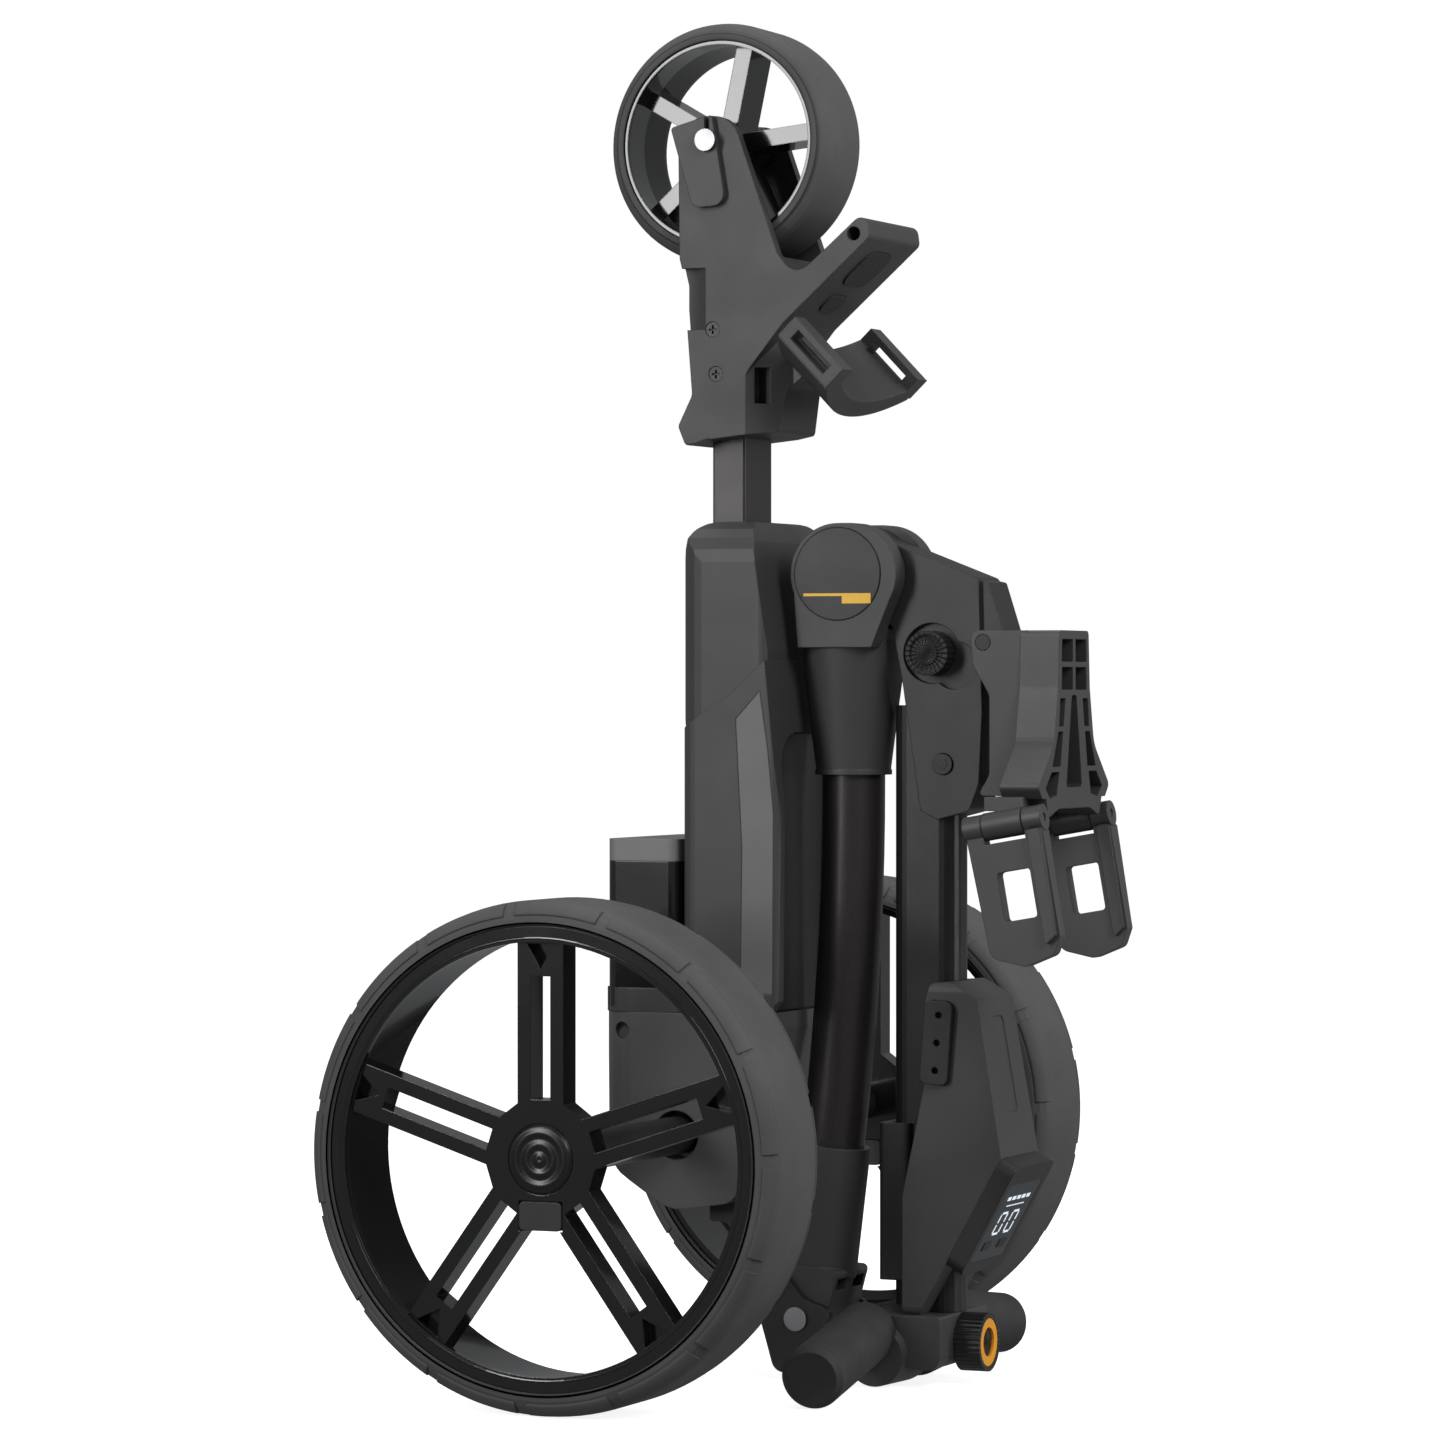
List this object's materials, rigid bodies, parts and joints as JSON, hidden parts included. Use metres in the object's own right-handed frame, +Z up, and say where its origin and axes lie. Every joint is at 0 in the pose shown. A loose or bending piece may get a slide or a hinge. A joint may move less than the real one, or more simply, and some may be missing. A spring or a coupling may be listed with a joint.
{
  "type": "electric golf trolley",
  "caption": "Folded electric golf trolley: spoked drive wheels, motor and battery, folding frame, bag supports, small front wheel, and a handle with grips, display and speed knob.",
  "frame": {"origin": "middle of the bounding box at ground level, below the folded trolley standing on its drive wheels and hand grips", "axes": "+X along the drive axle towards the side away from the lock knob, +Y from the handle towards the battery, +Z up"},
  "size_m": [0.489, 0.3819, 0.7925],
  "materials": {
    "tyre_rubber": "matte moulded tread",
    "rim_gloss": "gloss black",
    "hub_black": "satin black",
    "housing_grey": "fine-grained dark grey",
    "trim_grey": "satin mid grey",
    "tube_brown": "satin metallic dark brown",
    "stem_black": "satin black",
    "plate_black": "satin black",
    "steel": "bright turned steel",
    "gear_steel": "machined",
    "battery_black": "gloss black",
    "battery_grey": "satin grey",
    "pad_rubber": "textured soft rubber",
    "grip_rubber": "soft ribbed rubber",
    "screen": "dark display window",
    "accent_orange": "orange",
    "board_green": "sealed circuit board"
  },
  "bodies": {
    "lower_frame": {"gearbox_left": "hub_black", "gearbox_right": "hub_black", "motor_can": "plate_black", "axle_tubes": "plate_black", "axle_bearings": "steel", "front_bracket": "housing_grey", "fork_covers": "housing_grey", "bracket_screws": "plate_black", "bag_rest_pads": "pad_rubber", "lower_cradle": "housing_grey", "front_axle": "steel", "frame_tube": "tube_brown", "housing_cap": "housing_grey", "housing_shell": "housing_grey", "side_trims": "trim_grey", "front_panel": "housing_grey", "controller": "board_green", "chassis": "trim_grey", "battery_tray": "housing_grey", "hinge_plates": "plate_black", "pivot_pin": "steel"},
    "drive_shaft": {"drive_axle": "steel", "final_gear": "gear_steel"},
    "motor_shaft": {"motor_pinion": "gear_steel"},
    "left_wheel": {"wheel_rim_left": "rim_gloss", "wheel_tyre_left": "tyre_rubber", "wheel_hub_left": "hub_black", "hub_cap_left": "rim_gloss"},
    "right_wheel": {"wheel_rim_right": "rim_gloss", "wheel_tyre_right": "tyre_rubber", "wheel_hub_right": "hub_black", "hub_cap_right": "rim_gloss"},
    "left_release": {"wheel_release_left": "hub_black"},
    "right_release": {"wheel_release_right": "hub_black"},
    "front_wheel": {"front_rim": "rim_gloss", "front_tyre": "tyre_rubber"},
    "battery": {"battery_case": "battery_black", "battery_top": "battery_grey"},
    "upper_frame": {"upper_tube": "tube_brown", "pivot_knuckle": "housing_grey", "fold_head": "housing_grey", "badge_discs": "hub_black", "fold_pin": "steel"},
    "handle": {"handle_casing": "hub_black", "casing_bolts": "plate_black", "handle_stem": "stem_black", "bag_bracket": "housing_grey", "arm_pins": "steel", "control_housing": "housing_grey", "accessory_rails": "hub_black", "display_housing": "hub_black", "display_glass": "screen", "stem_collar": "hub_black", "t_bar": "housing_grey", "grips": "grip_rubber"},
    "fold_lock": {"lock_knob": "hub_black"},
    "left_bag_arm": {"bag_arm_left": "housing_grey"},
    "right_bag_arm": {"bag_arm_right": "housing_grey"},
    "speed_dial": {"speed_knob": "hub_black", "knob_ring": "accent_orange"}
  },
  "joints": [
    {"name": "axle_spin", "type": "hinge", "parent": "lower_frame", "child": "drive_shaft", "pos_m": [0, 0.048, 0.143], "axis": [1, 0, 0], "continuous": true},
    {"name": "motor_spin", "type": "hinge", "parent": "lower_frame", "child": "motor_shaft", "pos_m": [0, 0.06789, 0.17745], "axis": [1, 0, 0], "continuous": true},
    {"name": "left_wheel_spin", "type": "hinge", "parent": "drive_shaft", "child": "left_wheel", "pos_m": [-0.2105, 0.048, 0.143], "axis": [1, 0, 0], "continuous": true},
    {"name": "right_wheel_spin", "type": "hinge", "parent": "drive_shaft", "child": "right_wheel", "pos_m": [0.2105, 0.048, 0.143], "axis": [1, 0, 0], "continuous": true},
    {"name": "left_release_press", "type": "slide", "parent": "left_wheel", "child": "left_release", "axis": [1, 0, 0], "range_m": [0, 0.0025], "stiffness_N_per_m": 800, "springref_m": -0.001},
    {"name": "right_release_press", "type": "slide", "parent": "right_wheel", "child": "right_release", "axis": [-1, 0, 0], "range_m": [0, 0.0025], "stiffness_N_per_m": 800, "springref_m": -0.001},
    {"name": "front_wheel_spin", "type": "hinge", "parent": "lower_frame", "child": "front_wheel", "pos_m": [0, 0.035, 0.722], "axis": [1, 0, 0], "continuous": true},
    {"name": "battery_lift", "type": "slide", "parent": "lower_frame", "child": "battery", "axis": [0, 0, 1], "range_m": [0, 0.06]},
    {"name": "frame_fold", "type": "hinge", "parent": "lower_frame", "child": "upper_frame", "pos_m": [0, -0.016, 0.036], "axis": [1, 0, 0], "range_deg": [0, 125]},
    {"name": "handle_fold", "type": "hinge", "parent": "upper_frame", "child": "handle", "pos_m": [0, -0.043, 0.469], "axis": [-1, 0, 0], "range_deg": [0, 180]},
    {"name": "lock_turn", "type": "hinge", "parent": "handle", "child": "fold_lock", "pos_m": [-0.022, -0.096, 0.423], "axis": [-1, 0, 0], "range_deg": [0, 180]},
    {"name": "left_arm_swing", "type": "hinge", "parent": "handle", "child": "left_bag_arm", "pos_m": [-0.056, -0.15605, 0.326], "axis": [0, 0.9848, -0.1736], "range_deg": [0, 100]},
    {"name": "right_arm_swing", "type": "hinge", "parent": "handle", "child": "right_bag_arm", "pos_m": [0.056, -0.15605, 0.326], "axis": [0, -0.9848, 0.1736], "range_deg": [0, 100]},
    {"name": "speed_turn", "type": "hinge", "parent": "handle", "child": "speed_dial", "pos_m": [0, -0.109, 0.0245], "axis": [0, 1, 0], "range_deg": [0, 270]}
  ],
  "couplings": [
    {"joint": "motor_spin", "follows": "axle_spin", "ratio": -4.7273},
    {"joint": "handle_fold", "follows": "frame_fold", "ratio": 1.44}
  ]
}
